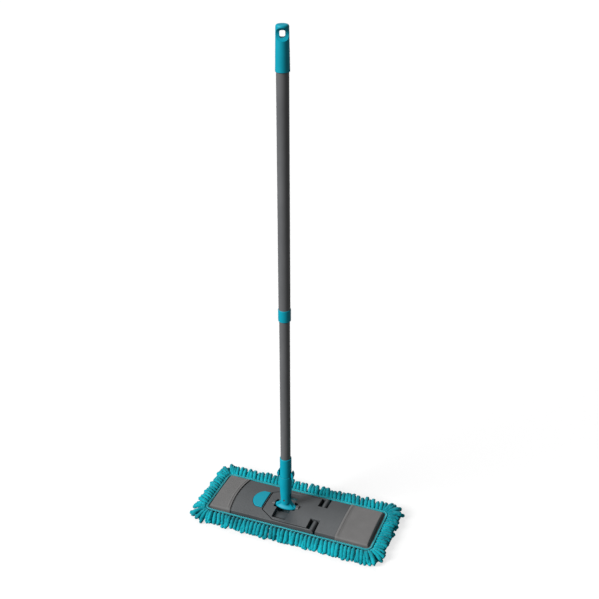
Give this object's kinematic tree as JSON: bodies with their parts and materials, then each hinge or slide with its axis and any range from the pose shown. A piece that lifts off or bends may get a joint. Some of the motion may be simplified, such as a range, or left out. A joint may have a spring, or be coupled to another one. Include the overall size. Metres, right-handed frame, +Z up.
{
  "type": "flat mop",
  "caption": "Flat mop with a folding click frame, a chenille pocket pad, a two-axis swivel joint and a telescopic handle with a hanging hole.",
  "frame": {"origin": "on the floor, under the middle of the pad", "axes": "+X along the pad, +Y across it away from the viewer, +Z up the upright handle"},
  "size_m": [0.454, 0.196, 1.0956],
  "materials": {
    "teal_plastic": "satin moulded plastic",
    "grey_plastic": "fine moulded texture",
    "lock_plastic": "plain moulded plastic",
    "tube_paint": "satin powder coat",
    "steel": "bright drawn steel",
    "chenille": "chenille microfibre pile",
    "backing_cloth": "woven backing cloth",
    "binding_tape": "stitched edging tape",
    "pocket_cloth": "woven polyester cloth"
  },
  "bodies": {
    "main_plate": {"main_plate": "grey_plastic", "joint_retainer": "grey_plastic", "retainer_screws": "steel", "hinge_rod": "steel", "pile_right": "chenille", "backing_right": "backing_cloth", "binding_right": "binding_tape", "pocket_right": "pocket_cloth"},
    "left_wing": {"left_wing": "grey_plastic", "latch_spring": "steel", "pile_left": "chenille", "backing_left": "backing_cloth", "binding_left": "binding_tape", "pocket_left": "pocket_cloth"},
    "latch_button": {"latch_button": "teal_plastic"},
    "rocker": {"rocker": "teal_plastic", "rocker_pin": "steel"},
    "handle_lower": {"swivel_fork": "teal_plastic", "tilt_pin": "steel", "socket_sleeve": "teal_plastic", "release_spring_left": "steel", "release_spring_right": "steel", "lower_tube": "tube_paint", "lock_stud": "lock_plastic"},
    "release_button_left": {"release_button_left": "teal_plastic"},
    "release_button_right": {"release_button_right": "teal_plastic"},
    "lock_ring": {"lock_ring": "lock_plastic"},
    "handle_upper": {"upper_tube": "tube_paint", "collar": "teal_plastic", "grip": "teal_plastic"}
  },
  "joints": [
    {"name": "frame_fold", "type": "hinge", "parent": "main_plate", "child": "left_wing", "pos_m": [0.055, 0, 0.0165], "axis": [0, -1, 0], "range_deg": [0, 70]},
    {"name": "latch_press", "type": "slide", "parent": "left_wing", "child": "latch_button", "axis": [0, 0, -1], "range_m": [0, 0.0035], "stiffness_N_per_m": 600, "springref_m": -0.002, "deforming": ["latch_spring"]},
    {"name": "handle_swing", "type": "hinge", "parent": "main_plate", "child": "rocker", "pos_m": [-0.025, 0, 0.023], "axis": [1, 0, 0], "range_deg": [-65, 65]},
    {"name": "handle_tilt", "type": "hinge", "parent": "rocker", "child": "handle_lower", "pos_m": [-0.025, 0, 0.0465], "axis": [0, 1, 0], "range_deg": [-50, 50]},
    {"name": "release_left_press", "type": "slide", "parent": "handle_lower", "child": "release_button_left", "axis": [1, 0, 0], "range_m": [0, 0.0012], "stiffness_N_per_m": 1500, "springref_m": -0.001, "deforming": ["release_spring_left"]},
    {"name": "release_right_press", "type": "slide", "parent": "handle_lower", "child": "release_button_right", "axis": [-1, 0, 0], "range_m": [0, 0.0012], "stiffness_N_per_m": 1500, "springref_m": -0.001, "deforming": ["release_spring_right"]},
    {"name": "lock_twist", "type": "hinge", "parent": "handle_lower", "child": "lock_ring", "pos_m": [-0.025, 0, 0.666], "axis": [0, 0, 1], "range_deg": [0, 120]},
    {"name": "length_slide", "type": "slide", "parent": "lock_ring", "child": "handle_upper", "axis": [0, 0, 1], "range_m": [-0.335, 0.08]}
  ]
}
